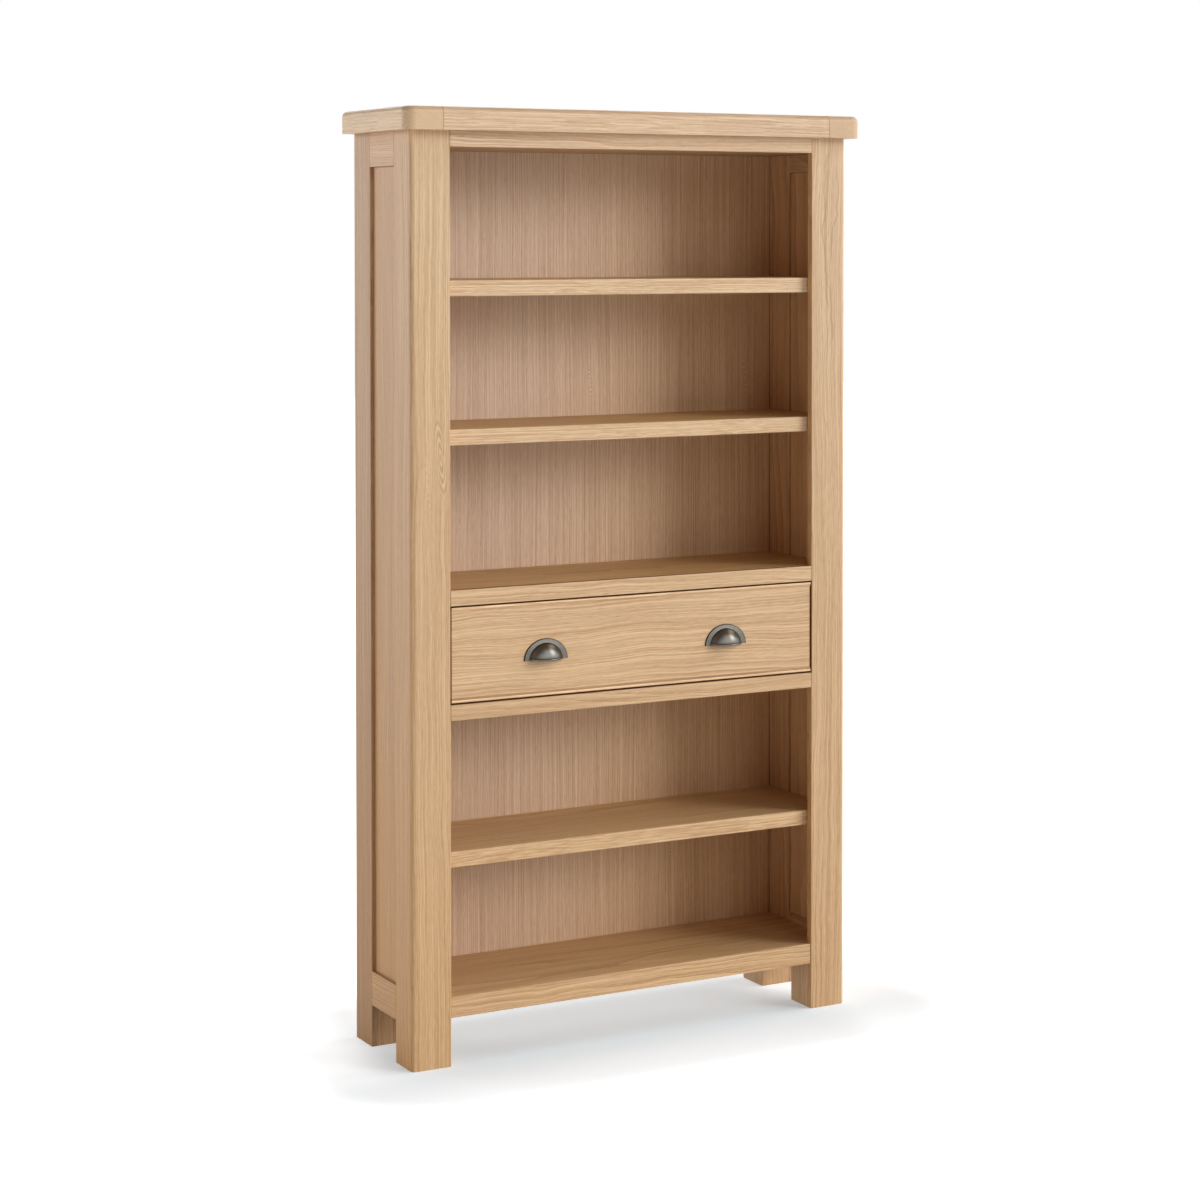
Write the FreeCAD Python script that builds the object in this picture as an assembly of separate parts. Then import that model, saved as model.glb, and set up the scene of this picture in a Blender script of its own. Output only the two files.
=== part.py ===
import FreeCAD, Part
import math
import os

# A free-standing bookcase with panelled sides, three shelves and one wide drawer.
# X runs from left to right, Y from front to back and Z up, in millimetres.
# The origin is on the floor, under the middle of the top.

# Front frame, from left to right
opening_width = 796.0
stile_width = 80.0
stile_thickness = 15.0
post_corner_radius = 10.0
mitre_angle = 45.0
tenon_length = 12.0
tenon_thickness = 6.0
tenon_shoulder = 5.0

# Front frame, from the floor up
foot_clearance = 91.0
base_rail_height = 40.0
bottom_bay_height = 239.0
lower_bay_height = 251.0
drawer_rail_height = 30.0
drawer_opening_height = 185.0
middle_bay_height = 270.0
upper_bay_height = 250.0
top_bay_height = 250.0
top_rail_height = 30.0
base_rail_setback = 2.0

# Side frames
post_depth = 77.0
side_opening = 114.0
side_rail_clearance = 81.0
side_rail_height = 65.0
panel_thickness = 5.0
panel_recess = 7.0
groove_depth = 10.0
panel_edge_gap = 1.0

# Top
top_thickness = 44.0
top_side_overhang = 22.0
top_front_overhang = 26.0
top_corner_radius = 22.0
top_edge_radius = 12.0
breadboard_width = 78.0
tongue_length = 18.0
tongue_thickness = 12.0
tongue_stop = 28.0

# Shelves and fixed boards
shelf_thickness = 30.0
shelf_setback = 18.0
shelf_end_gap = 0.5
board_thickness = 18.0

# Back panel
back_thickness = 6.0
back_side_inset = 3.0

# Dowels and screws
dowel_radius = 4.0
dowel_in_stile = 9.0
dowel_in_board = 24.0
dowel_stile_inset = 38.0
fit_gap = 0.1
end_gap = 0.5
screw_radius = 1.6
screw_head_radius = 3.4
screw_head_height = 1.8
screw_tip_height = 3.0
screw_tip_radius = 0.1
back_screw_length = 26.0
back_screw_inset = 7.0
back_screw_end = 45.0
back_screws_per_stile = 7
back_screws_per_board = 3
top_screw_length = 52.0
top_screws_per_row = 4
top_screw_inset = 45.0

# Drawer
drawer_gap = 3.0
drawer_side_gap = 2.0
drawer_front_thickness = 20.0
bead_height = 4.5
bead_crown = 1.0
field_recess = 2.5
cove_height = 4.0
end_bevel = 1.5
drawer_side_height = 164.0
drawer_side_thickness = 14.0
drawer_back_gap = 16.0
drawer_back_drop = 6.0
drawer_bottom_thickness = 6.0
drawer_bottom_height = 10.0
drawer_groove_depth = 6.0
drawer_floor_gap = 0.3
dovetail_count = 4
dovetail_slope = 8.0
dovetail_margin = 7.0
dovetail_lap = 6.0
dovetail_narrow_share = 0.52
bottom_screw_length = 20.0
bottom_screw_inset = 127.0
bottom_screws = 3

# Drawer runners in the case
guide_gap = 0.6
guide_width = 30.0
guide_height = 25.0
kicker_width = 20.0
kicker_gap = 1.7
stop_width = 40.0
stop_depth = 20.0
stop_height = 7.0
stop_gap = 0.3
runner_back_gap = 4.0

# Cup pulls
pull_spacing = 397.0
pull_width = 93.0
pull_height = 40.5
pull_drop = 21.5
flange_thickness = 2.2
flange_edge_radius = 1.2
flange_band = 9.5
dome_reach = 26.0
dome_drop = 4.0
dome_wall = 2.0
lip_radius = 1.7
boss_radius = 4.0
boss_inset = 13.0
boss_height = 13.0
pull_screw_radius = 2.0
pull_screw_head_radius = 4.0
pull_screw_head_height = 2.4
pull_screw_bite = 6.0

# Edge finish
arris = 1.5
fine_arris = 0.8
cut_overrun = 5.0
edge_tolerance = 0.1

# Places across the width
half_opening = opening_width / 2
half_case = half_opening + stile_width
half_inner = half_case - stile_thickness
half_top = half_case + top_side_overhang
half_centre_board = half_top - breadboard_width

# Places across the depth
case_depth = 2 * post_depth + side_opening
top_depth = top_front_overhang + case_depth + back_thickness
top_front = -top_depth / 2
top_back = top_depth / 2
case_front = top_front + top_front_overhang
case_back = case_front + case_depth
stile_back = case_front + stile_thickness
front_post_back = case_front + post_depth
rear_post_front = case_back - post_depth
shelf_front = case_front + shelf_setback
tenon_front = case_front + (stile_thickness - tenon_thickness) / 2
front_dowel_y = case_front + dowel_stile_inset
rear_dowel_y = case_back - dowel_stile_inset

# Heights
base_top = foot_clearance + base_rail_height
lower_shelf_low = base_top + bottom_bay_height
lower_shelf_top = lower_shelf_low + shelf_thickness
drawer_rail_low = lower_shelf_top + lower_bay_height
drawer_opening_low = drawer_rail_low + drawer_rail_height
drawer_opening_top = drawer_opening_low + drawer_opening_height
drawer_cover_top = drawer_opening_top + drawer_rail_height
middle_shelf_low = drawer_cover_top + middle_bay_height
middle_shelf_top = middle_shelf_low + shelf_thickness
upper_shelf_low = middle_shelf_top + upper_bay_height
upper_shelf_top = upper_shelf_low + shelf_thickness
top_rail_low = upper_shelf_top + top_bay_height
case_top = top_rail_low + top_rail_height
overall_height = case_top + top_thickness
base_board_low = base_top - board_thickness
side_panel_low = side_rail_clearance + side_rail_height
side_panel_top = case_top - side_rail_height

# The rails of the front frame: lowest point, highest point and setback from the stiles
front_rails = {
    "base_front_rail": (foot_clearance, base_top, base_rail_setback),
    "drawer_lower_rail": (drawer_rail_low, drawer_opening_low, 0),
    "drawer_upper_rail": (drawer_opening_top, drawer_cover_top, 0),
    "top_front_rail": (top_rail_low, case_top, 0),
}

# The boards behind the rails and the shelves: lowest and highest point
fixed_boards = {
    "base_board": (base_board_low, base_top),
    "drawer_floor_board": (drawer_opening_low - board_thickness, drawer_opening_low),
    "drawer_cover_board": (drawer_cover_top - board_thickness, drawer_cover_top),
    "ceiling_board": (top_rail_low, case_top),
}
shelves = {
    "lower_shelf": (lower_shelf_low, lower_shelf_top),
    "middle_shelf": (middle_shelf_low, middle_shelf_top),
    "upper_shelf": (upper_shelf_low, upper_shelf_top),
}

# Drawer places
half_drawer = half_opening - drawer_side_gap
drawer_front_low = drawer_opening_low + drawer_gap
drawer_front_top = drawer_opening_top - drawer_gap
field_front = case_front + field_recess
drawer_front_back = case_front + drawer_front_thickness
drawer_side_low = drawer_opening_low + drawer_floor_gap
drawer_side_top = drawer_side_low + drawer_side_height
drawer_box_back = case_back - drawer_back_gap
drawer_back_front = drawer_box_back - drawer_side_thickness
drawer_bottom_low = drawer_side_low + drawer_bottom_height
drawer_bottom_top = drawer_bottom_low + drawer_bottom_thickness
half_drawer_inside = half_drawer - drawer_side_thickness
runner_back = case_back - runner_back_gap
pull_low = (drawer_front_low + drawer_front_top) / 2 - pull_drop
dome_width = pull_width - 2 * flange_band
boss_spacing = dome_width - 2 * boss_inset


def box(x_low, x_high, y_low, y_high, z_low, z_high):
    corner = FreeCAD.Vector(x_low, y_low, z_low)
    return Part.makeBox(x_high - x_low, y_high - y_low, z_high - z_low, corner)


def rod(radius, start, direction, length):
    return Part.makeCylinder(radius, length, FreeCAD.Vector(*start), FreeCAD.Vector(*direction))


def prism(outline, direction, length):
    """A straight solid from a closed outline of lines and arcs."""
    face = Part.Face(Part.Wire(outline))
    return face.extrude(FreeCAD.Vector(*direction) * length)


def line(start, end):
    return Part.makeLine(FreeCAD.Vector(*start), FreeCAD.Vector(*end))


def arc(start, middle, end):
    points = [FreeCAD.Vector(*point) for point in (start, middle, end)]
    return Part.Arc(*points).toShape()


def polygon(points, direction, length):
    sides = [line(points[index - 1], points[index]) for index in range(len(points))]
    return prism(sides, direction, length)


def mirrored(shape):
    return shape.mirror(FreeCAD.Vector(0, 0, 0), FreeCAD.Vector(1, 0, 0))


def fused(first, others):
    return first.fuse(others).removeSplitter()


def edges_at(shape, **places):
    """The straight edges that lie wholly at each given coordinate."""
    found = []
    for edge in shape.Edges:
        size = edge.BoundBox
        low = {"x": size.XMin, "y": size.YMin, "z": size.ZMin}
        high = {"x": size.XMax, "y": size.YMax, "z": size.ZMax}
        apart = [max(abs(low[axis] - place), abs(high[axis] - place)) for axis, place in places.items()]
        if max(apart) < edge_tolerance:
            found.append(edge)
    return found


def eased(shape, radius, *corners):
    """The shape with the edges at each corner rounded, where a corner is two coordinates."""
    edges = []
    for corner in corners:
        edges.extend(edges_at(shape, **corner))
    return shape.makeFillet(radius, edges)


def spaced(low, high, count):
    if count < 2:
        return [(low + high) / 2]
    return [low + (high - low) * index / (count - 1) for index in range(count)]


# Dowels and their holes
def dowel_spots():
    """Each dowel's place: the name of its board, its side, its Y and its Z."""
    spots = []
    for name, (low, high) in list(shelves.items()) + list(fixed_boards.items()):
        for side in (-1, 1):
            for y in (front_dowel_y, rear_dowel_y):
                spots.append((name, side, y, (low + high) / 2))
    return spots


def dowel(side, y, z, gap=0, extra=0):
    reach = dowel_in_stile + extra
    start = (side * (half_inner + reach), y, z)
    length = reach + dowel_in_board + extra
    return rod(dowel_radius + gap, start, (-side, 0, 0), length)


def dowel_holes(names, side=None, y=None):
    """Cutters for the dowels of some boards, on one side or at one depth where given."""
    holes = []
    for name, spot_side, spot_y, z in dowel_spots():
        wanted = name in names
        if side is not None:
            wanted = wanted and spot_side == side
        if y is not None:
            wanted = wanted and spot_y == y
        if wanted:
            holes.append(dowel(spot_side, spot_y, z, fit_gap, end_gap))
    return holes


def dowels(names):
    return [dowel(side, y, z) for name, side, y, z in dowel_spots() if name in names]


# Screws and their holes
def wood_screw(head, direction, length, gap=0):
    """A countersunk screw. Its head's flat is at the given point and it runs along direction."""
    way = FreeCAD.Vector(*direction)
    top = FreeCAD.Vector(*head)
    neck = top + way * screw_head_height
    tip = top + way * (length - screw_tip_height)
    cone = Part.makeCone(screw_head_radius + gap, screw_radius + gap, screw_head_height, top, way)
    shank = Part.makeCylinder(screw_radius + gap, length - screw_head_height - screw_tip_height, neck, way)
    point = Part.makeCone(screw_radius + gap, screw_tip_radius + gap, screw_tip_height, tip, way)
    return fused(cone, [shank, point])


def back_screw_heads():
    """The places of the screws that hold the back panel on the stiles and the boards."""
    heads = []
    edge = half_case - back_side_inset - back_screw_inset
    for z in spaced(foot_clearance + back_screw_end, case_top - back_screw_end, back_screws_per_stile):
        for side in (-1, 1):
            heads.append((side * edge, top_back, z))
    reach = half_opening / 2
    for low, high in fixed_boards.values():
        for x in spaced(-reach, reach, back_screws_per_board):
            heads.append((x, top_back, (low + high) / 2))
    return heads


def back_screws(gap=0):
    return [wood_screw(head, (0, -1, 0), back_screw_length, gap) for head in back_screw_heads()]


def top_screw_heads():
    heads = []
    reach = half_centre_board - top_screw_inset
    for y in (stile_back + top_screw_inset, case_back - top_screw_inset):
        for x in spaced(-reach, reach, top_screws_per_row):
            heads.append((x, y, top_rail_low))
    return heads


def top_screws(gap=0):
    return [wood_screw(head, (0, 0, 1), top_screw_length, gap) for head in top_screw_heads()]


# Posts, feet and front rails
def post_corner(angle):
    """A point on the rounded outer corner of the left front post, by its angle from the side."""
    centre_x = -half_case + post_corner_radius
    centre_y = case_front + post_corner_radius
    turn = math.radians(angle)
    x = centre_x - post_corner_radius * math.cos(turn)
    y = centre_y - post_corner_radius * math.sin(turn)
    return (x, y, 0)


def rail_tenon(low, high, side, gap=0):
    """The tenon on one end of a front rail, or with a gap the mortise that takes it."""
    inner = half_opening
    outer = half_opening + tenon_length + gap
    x_low, x_high = sorted((side * inner, side * outer))
    tenon_low = low + tenon_shoulder
    tenon_high = high - tenon_shoulder
    return box(x_low, x_high, tenon_front, tenon_front + tenon_thickness, tenon_low, tenon_high)


def front_stile():
    """The face of the left front post, mitred to the side stile behind its rounded corner."""
    meeting = post_corner(mitre_angle)
    front_tangent = (-half_case + post_corner_radius, case_front, 0)
    inner_front = (-half_opening, case_front, 0)
    inner_back = (-half_opening, stile_back, 0)
    mitre_end = (-half_inner, stile_back, 0)
    outline = [
        arc(meeting, post_corner(mitre_angle + mitre_angle / 2), front_tangent),
        line(front_tangent, inner_front),
        line(inner_front, inner_back),
        line(inner_back, mitre_end),
        line(mitre_end, meeting),
    ]
    stile = prism(outline, (0, 0, 1), case_top)
    stile = eased(stile, arris, {"x": -half_opening, "y": case_front})
    mortises = [rail_tenon(low, high, -1, end_gap) for low, high, setback in front_rails.values()]
    return stile.cut(mortises)


def panel_groove(y_edge, way):
    """The groove in a side stile that holds the panel and the stub tenons of the side rails."""
    x_low = -half_case + panel_recess
    y_low, y_high = sorted((y_edge - way * groove_depth, y_edge + way * cut_overrun))
    return box(x_low, x_low + panel_thickness, y_low, y_high, side_rail_clearance, case_top + cut_overrun)


def front_side_stile():
    meeting = post_corner(mitre_angle)
    side_tangent = (-half_case, case_front + post_corner_radius, 0)
    outer_back = (-half_case, front_post_back, 0)
    inner_back = (-half_inner, front_post_back, 0)
    mitre_end = (-half_inner, stile_back, 0)
    outline = [
        arc(side_tangent, post_corner(mitre_angle / 2), meeting),
        line(meeting, mitre_end),
        line(mitre_end, inner_back),
        line(inner_back, outer_back),
        line(outer_back, side_tangent),
    ]
    stile = prism(outline, (0, 0, 1), case_top)
    stile = eased(stile, arris, {"x": -half_case, "y": front_post_back})
    holes = dowel_holes(list(shelves) + list(fixed_boards), -1, front_dowel_y)
    return stile.cut([panel_groove(front_post_back, 1)] + holes)


def rear_side_stile():
    stile = box(-half_case, -half_inner, rear_post_front, case_back, 0, case_top)
    front_corner = {"x": -half_case, "y": rear_post_front}
    stile = eased(stile, arris, front_corner, {"x": -half_case, "y": case_back})
    holes = dowel_holes(list(shelves) + list(fixed_boards), -1, rear_dowel_y)
    return stile.cut([panel_groove(rear_post_front, -1)] + holes + back_screws(fit_gap))


def front_foot_block():
    block = box(-half_inner, -half_opening, stile_back, front_post_back, 0, base_board_low)
    return eased(block, arris, {"x": -half_opening, "y": front_post_back})


def rear_foot_block():
    block = box(-half_inner, -half_opening, rear_post_front, case_back, 0, base_board_low)
    block_front = {"x": -half_opening, "y": rear_post_front}
    return eased(block, arris, block_front, {"x": -half_opening, "y": case_back})


def front_rail(low, high, setback):
    face = case_front + setback
    rail = box(-half_opening, half_opening, face, stile_back, low, high)
    rail = eased(rail, fine_arris, {"y": face, "z": low}, {"y": face, "z": high})
    return fused(rail, [rail_tenon(low, high, -1), rail_tenon(low, high, 1)])


# Side frames
def side_rail(low, high, grooved_edge, way):
    """A left side rail with stub tenons, grooved for the panel along one edge."""
    x_groove = -half_case + panel_recess
    rail = box(-half_case, -half_inner, front_post_back, rear_post_front, low, high)
    rail = eased(rail, fine_arris, {"x": -half_case, "z": grooved_edge})
    tenon_low = low if way > 0 else low + groove_depth
    tenon_high = high - groove_depth if way > 0 else high
    y_low = front_post_back - groove_depth
    y_high = rear_post_front + groove_depth
    tenons = box(x_groove, x_groove + panel_thickness, y_low, y_high, tenon_low, tenon_high)
    z_low, z_high = sorted((grooved_edge - way * groove_depth, grooved_edge + way * cut_overrun))
    groove = box(x_groove, x_groove + panel_thickness, y_low, y_high, z_low, z_high)
    return fused(rail, [tenons]).cut(groove)


def side_panel():
    tongue = groove_depth - panel_edge_gap
    x_low = -half_case + panel_recess
    y_low = front_post_back - tongue
    y_high = rear_post_front + tongue
    z_low = side_panel_low - tongue
    z_high = side_panel_top + tongue
    return box(x_low, x_low + panel_thickness, y_low, y_high, z_low, z_high)


# Shelves and fixed boards
def fixed_board(name):
    low, high = fixed_boards[name]
    end = half_inner - shelf_end_gap
    board = box(-end, end, stile_back, case_back, low, high)
    cuts = dowel_holes([name]) + back_screws(fit_gap)
    if name == "ceiling_board":
        cuts += top_screws(fit_gap)
    return board.cut(cuts)


def shelf(name):
    low, high = shelves[name]
    end = half_inner - shelf_end_gap
    board = box(-end, end, shelf_front, case_back, low, high)
    board = eased(board, arris, {"y": shelf_front, "z": low}, {"y": shelf_front, "z": high})
    return board.cut(dowel_holes([name]))


def back_panel():
    edge = half_case - back_side_inset
    panel = box(-edge, edge, case_back, top_back, foot_clearance, case_top)
    return panel.cut(back_screws(fit_gap))


# Top
def top_tongue(side, gap=0):
    """The tongue of the centre board, or with a gap the groove in a breadboard end."""
    outer = half_centre_board + tongue_length + gap
    x_low, x_high = sorted((side * half_centre_board, side * outer))
    z_low = case_top + (top_thickness - tongue_thickness) / 2
    y_low = top_front + tongue_stop - gap
    y_high = top_back - tongue_stop + gap
    return box(x_low, x_high, y_low, y_high, z_low, z_low + tongue_thickness)


def top_centre_board():
    board = box(-half_centre_board, half_centre_board, top_front, top_back, case_top, overall_height)
    board = eased(board, top_edge_radius, {"y": top_front, "z": overall_height})
    board = fused(board, [top_tongue(-1), top_tongue(1)])
    return board.cut(top_screws(fit_gap))


def top_breadboard():
    """The left cross-grain end of the top, with its rounded front corner and edge."""
    board = box(-half_top, -half_centre_board, top_front, top_back, case_top, overall_height)
    board = eased(board, top_corner_radius, {"x": -half_top, "y": top_front})
    rim = []
    for edge in edges_at(board, z=overall_height):
        at_joint = abs(edge.BoundBox.XMin + half_centre_board) < edge_tolerance
        at_back = abs(edge.BoundBox.YMin - top_back) < edge_tolerance
        if not at_joint and not at_back:
            rim.append(edge)
    board = board.makeFillet(top_edge_radius, rim)
    return board.cut(top_tongue(-1, end_gap))


# Drawer
def cove_middle():
    """How far the middle of the cove stands out from the field and from the cove's end on it."""
    depth = field_recess - bead_crown
    radius = (cove_height ** 2 + depth ** 2) / (2 * depth)
    half_turn = math.asin(cove_height / radius) / 2
    return radius * (1 - math.cos(half_turn)), radius * math.sin(half_turn)


def front_section():
    """The section of the drawer front: a bead and a cove above and below a sunk field."""
    low = drawer_front_low
    top = drawer_front_top
    bead_back = case_front + bead_crown
    inset, rise = cove_middle()

    def at(y, z):
        return (-half_drawer, y, z)

    upper_bead = top - bead_height
    lower_bead = low + bead_height
    field_top = upper_bead - cove_height
    field_low = lower_bead + cove_height
    cove_face = field_front - inset
    return [
        arc(at(bead_back, top), at(case_front, top - bead_height / 2), at(bead_back, upper_bead)),
        arc(at(bead_back, upper_bead), at(cove_face, field_top + rise), at(field_front, field_top)),
        line(at(field_front, field_top), at(field_front, field_low)),
        arc(at(field_front, field_low), at(cove_face, field_low - rise), at(bead_back, lower_bead)),
        arc(at(bead_back, lower_bead), at(case_front, low + bead_height / 2), at(bead_back, low)),
        line(at(bead_back, low), at(drawer_front_back, low)),
        line(at(drawer_front_back, low), at(drawer_front_back, top)),
        line(at(drawer_front_back, top), at(bead_back, top)),
    ]


def field_bevel(side):
    """The sliver that bevels one end of the field, between the coves."""
    low = drawer_front_low + bead_height + cove_height
    height = drawer_front_top - bead_height - cove_height - low
    corners = [
        (side * (half_drawer - end_bevel), field_front, low),
        (side * half_drawer, field_front + end_bevel, low),
        (side * half_drawer, field_front, low),
    ]
    return polygon(corners, (0, 0, 1), height)


def dovetails(side, root, tip):
    """The tails of a drawer side, from their narrow root to their wide tip."""
    low = drawer_bottom_top + dovetail_margin
    high = drawer_side_top - drawer_back_drop - dovetail_margin
    pitch = (high - low) / dovetail_count
    half_root = pitch * dovetail_narrow_share / 2
    spread = abs(tip - root) / dovetail_slope * 2
    x_low, x_high = sorted((side * half_drawer, side * half_drawer_inside))
    tails = []
    for middle in spaced(low + pitch / 2, high - pitch / 2, dovetail_count):
        corners = [
            (x_low, root, middle - half_root),
            (x_low, tip, middle - half_root - spread),
            (x_low, tip, middle + half_root + spread),
            (x_low, root, middle + half_root),
        ]
        tails.append(polygon(corners, (1, 0, 0), x_high - x_low))
    return tails


def pull_screw_spots():
    """Each cup pull screw's place on the back of the drawer front."""
    spots = []
    for pull_side in (-1, 1):
        for boss_side in (-1, 1):
            x = pull_side * pull_spacing / 2 + boss_side * boss_spacing / 2
            spots.append((x, drawer_front_back, pull_low + boss_height))
    return spots


def pull_screw(spot):
    length = drawer_front_back - field_front + pull_screw_bite
    shank = rod(pull_screw_radius, spot, (0, -1, 0), length)
    head = rod(pull_screw_head_radius, spot, (0, 1, 0), pull_screw_head_height)
    return fused(shank, [head])


def drawer_front():
    front = prism(front_section(), (1, 0, 0), 2 * half_drawer)
    tip = case_front + dovetail_lap
    cuts = dovetails(-1, drawer_front_back, tip) + dovetails(1, drawer_front_back, tip)
    cuts += [field_bevel(-1), field_bevel(1)]
    groove_front = drawer_front_back - drawer_groove_depth
    groove_back = drawer_front_back + cut_overrun
    reach = half_drawer_inside
    cuts.append(box(-reach, reach, groove_front, groove_back, drawer_bottom_low, drawer_bottom_top))
    length = drawer_front_thickness + cut_overrun
    for spot in pull_screw_spots():
        cuts.append(rod(pull_screw_radius + fit_gap, spot, (0, -1, 0), length))
    return front.cut(cuts)


def drawer_side():
    """The left drawer side, with its tails at both ends and the groove for the bottom."""
    side = box(-half_drawer, -half_drawer_inside, drawer_front_back, drawer_back_front,
               drawer_side_low, drawer_side_top)
    side = eased(side, fine_arris, {"x": -half_drawer, "z": drawer_side_top},
                 {"x": -half_drawer_inside, "z": drawer_side_top})
    front_tails = dovetails(-1, drawer_front_back, case_front + dovetail_lap)
    back_tails = dovetails(-1, drawer_back_front, drawer_box_back)
    side = fused(side, front_tails + back_tails)
    groove = box(-half_drawer_inside - drawer_groove_depth, -half_drawer_inside + cut_overrun,
                 drawer_front_back - cut_overrun, drawer_box_back, drawer_bottom_low, drawer_bottom_top)
    return side.cut(groove)


def bottom_screw_heads():
    reach = half_drawer_inside - bottom_screw_inset
    y = (drawer_back_front + drawer_box_back) / 2
    return [(x, y, drawer_bottom_low) for x in spaced(-reach, reach, bottom_screws)]


def bottom_screw_set(gap=0):
    return [wood_screw(head, (0, 0, 1), bottom_screw_length, gap) for head in bottom_screw_heads()]


def drawer_back():
    top = drawer_side_top - drawer_back_drop
    board = box(-half_drawer, half_drawer, drawer_back_front, drawer_box_back, drawer_bottom_top, top)
    cuts = bottom_screw_set(fit_gap)
    for side in (-1, 1):
        cuts += dovetails(side, drawer_back_front, drawer_box_back)
    return board.cut(cuts)


def drawer_bottom():
    reach = half_drawer_inside + drawer_groove_depth - end_gap
    front = drawer_front_back - drawer_groove_depth + end_gap
    neck = half_drawer_inside - end_gap
    panel = box(-reach, reach, drawer_front_back, drawer_back_front, drawer_bottom_low, drawer_bottom_top)
    front_edge = box(-neck, neck, front, drawer_front_back, drawer_bottom_low, drawer_bottom_top)
    back_edge = box(-neck, neck, drawer_back_front, drawer_box_back, drawer_bottom_low, drawer_bottom_top)
    return fused(panel, [front_edge, back_edge]).cut(bottom_screw_set(fit_gap))


# Drawer runners in the case
def drawer_guide():
    inner = -half_drawer - guide_gap
    low = drawer_opening_low
    high = low + guide_height
    guide = box(inner - guide_width, inner, stile_back, runner_back, low, high)
    return eased(guide, arris, {"x": inner, "z": high})


def drawer_kicker():
    middle = half_drawer - drawer_side_thickness / 2
    low = drawer_side_top + kicker_gap
    high = drawer_cover_top - board_thickness
    front = drawer_front_back + runner_back_gap
    outer = middle + kicker_width / 2
    inner = middle - kicker_width / 2
    kicker = box(-outer, -inner, front, runner_back, low, high)
    return eased(kicker, arris, {"y": front, "z": low})


def drawer_stops():
    stops = []
    front = drawer_front_back + stop_gap
    back = front + stop_depth
    low = drawer_opening_low
    high = low + stop_height
    for side in (-1, 1):
        start = side * pull_spacing / 2 - stop_width / 2
        block = box(start, start + stop_width, front, back, low, high)
        stops.append(eased(block, arris, {"y": back, "z": high}))
    return stops


# Cup pulls
def dome_ball():
    """The radius of the ball that shapes the cup, and its centre's Y. The centre is below the lip."""
    centre_y = ((dome_width / 2) ** 2 - dome_reach ** 2) / (2 * dome_reach)
    return math.hypot(dome_reach + centre_y, dome_drop), centre_y


def dome_sphere(shrink):
    radius, centre_y = dome_ball()
    return Part.makeSphere(radius - shrink, FreeCAD.Vector(0, centre_y, -dome_drop))


def half_space(depth, height):
    """A block in front of the flange's back and above the cup's lip."""
    return box(-pull_width, pull_width, -depth, 0, 0, height)


def flange_outline():
    """A half ellipse on its straight edge, which is a half circle stretched to the pull's height."""
    reach = pull_width / 2
    half = arc((reach, 0, 0), (0, reach, 0), (-reach, 0, 0))
    stretch = FreeCAD.Matrix()
    stretch.scale(1, pull_height / reach, 1)
    return [half.transformGeometry(stretch), line((-reach, 0, 0), (reach, 0, 0))]


def cup_pull_at_origin():
    """A half-moon flange with a hollow cup, a beaded lip and two screw bosses inside."""
    plate = prism(flange_outline(), (0, 0, 1), flange_thickness)
    plate.rotate(FreeCAD.Vector(0, 0, 0), FreeCAD.Vector(1, 0, 0), 90)
    front_rim = [edge for edge in plate.Edges if edge.BoundBox.YMax < -flange_thickness / 2
                 and edge.BoundBox.ZMax > flange_thickness]
    plate = plate.makeFillet(flange_edge_radius, front_rim)
    reach = dome_reach + cut_overrun
    block = half_space(reach, pull_height + cut_overrun)
    outer = dome_sphere(0).common(block)
    radius, centre_y = dome_ball()
    middle = FreeCAD.Vector(0, centre_y, lip_radius)
    ring = math.sqrt((radius - dome_wall / 2) ** 2 - (dome_drop + lip_radius) ** 2)
    lip = Part.makeTorus(ring, lip_radius, middle, FreeCAD.Vector(0, 0, 1))
    lip = lip.common(half_space(reach, pull_height))
    cup = fused(plate, [outer, lip])
    inside = box(-pull_width, pull_width, -reach, cut_overrun, -cut_overrun, pull_height)
    cup = cup.cut(dome_sphere(dome_wall).common(inside))
    for side in (-1, 1):
        spot = (side * boss_spacing / 2, 0, boss_height)
        boss = rod(boss_radius, spot, (0, -1, 0), reach).common(dome_sphere(dome_wall / 2))
        cup = cup.fuse(boss)
        cup = cup.cut(rod(pull_screw_radius + fit_gap, spot, (0, -1, 0), pull_screw_bite + end_gap))
    return cup.removeSplitter()


def cup_pull(side):
    cup = cup_pull_at_origin()
    cup.translate(FreeCAD.Vector(side * pull_spacing / 2, field_front, pull_low))
    return cup


def write(name, shape):
    if isinstance(shape, list):
        shape = Part.makeCompound(shape)
    if not shape.isValid():
        print("not valid:", name)
    shape.exportStep(os.path.join("parts", name + ".step"))


def write_pair(name, left_shape):
    write(name + "_left", left_shape)
    write(name + "_right", mirrored(left_shape))


os.makedirs("parts", exist_ok=True)

write_pair("front_stile", front_stile())
write_pair("front_side_stile", front_side_stile())
write_pair("rear_side_stile", rear_side_stile())
write_pair("front_foot_block", front_foot_block())
write_pair("rear_foot_block", rear_foot_block())
write_pair("side_bottom_rail", side_rail(side_rail_clearance, side_panel_low, side_panel_low, 1))
write_pair("side_top_rail", side_rail(side_panel_top, case_top, side_panel_top, -1))
write_pair("side_panel", side_panel())
for rail_name, rail_places in front_rails.items():
    write(rail_name, front_rail(*rail_places))
for board_name in fixed_boards:
    write(board_name, fixed_board(board_name))
for shelf_name in shelves:
    write(shelf_name, shelf(shelf_name))
write("back_panel", back_panel())
write("top_centre_board", top_centre_board())
write_pair("top_breadboard", top_breadboard())
write("shelf_dowels", dowels(shelves))
write("board_dowels", dowels(fixed_boards))
write("back_panel_screws", back_screws())
write("top_screws", top_screws())
write("drawer_front", drawer_front())
write_pair("drawer_side", drawer_side())
write("drawer_back", drawer_back())
write("drawer_bottom", drawer_bottom())
write("drawer_bottom_screws", bottom_screw_set())
write_pair("drawer_guide", drawer_guide())
write_pair("drawer_kicker", drawer_kicker())
write("drawer_stops", drawer_stops())
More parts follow.
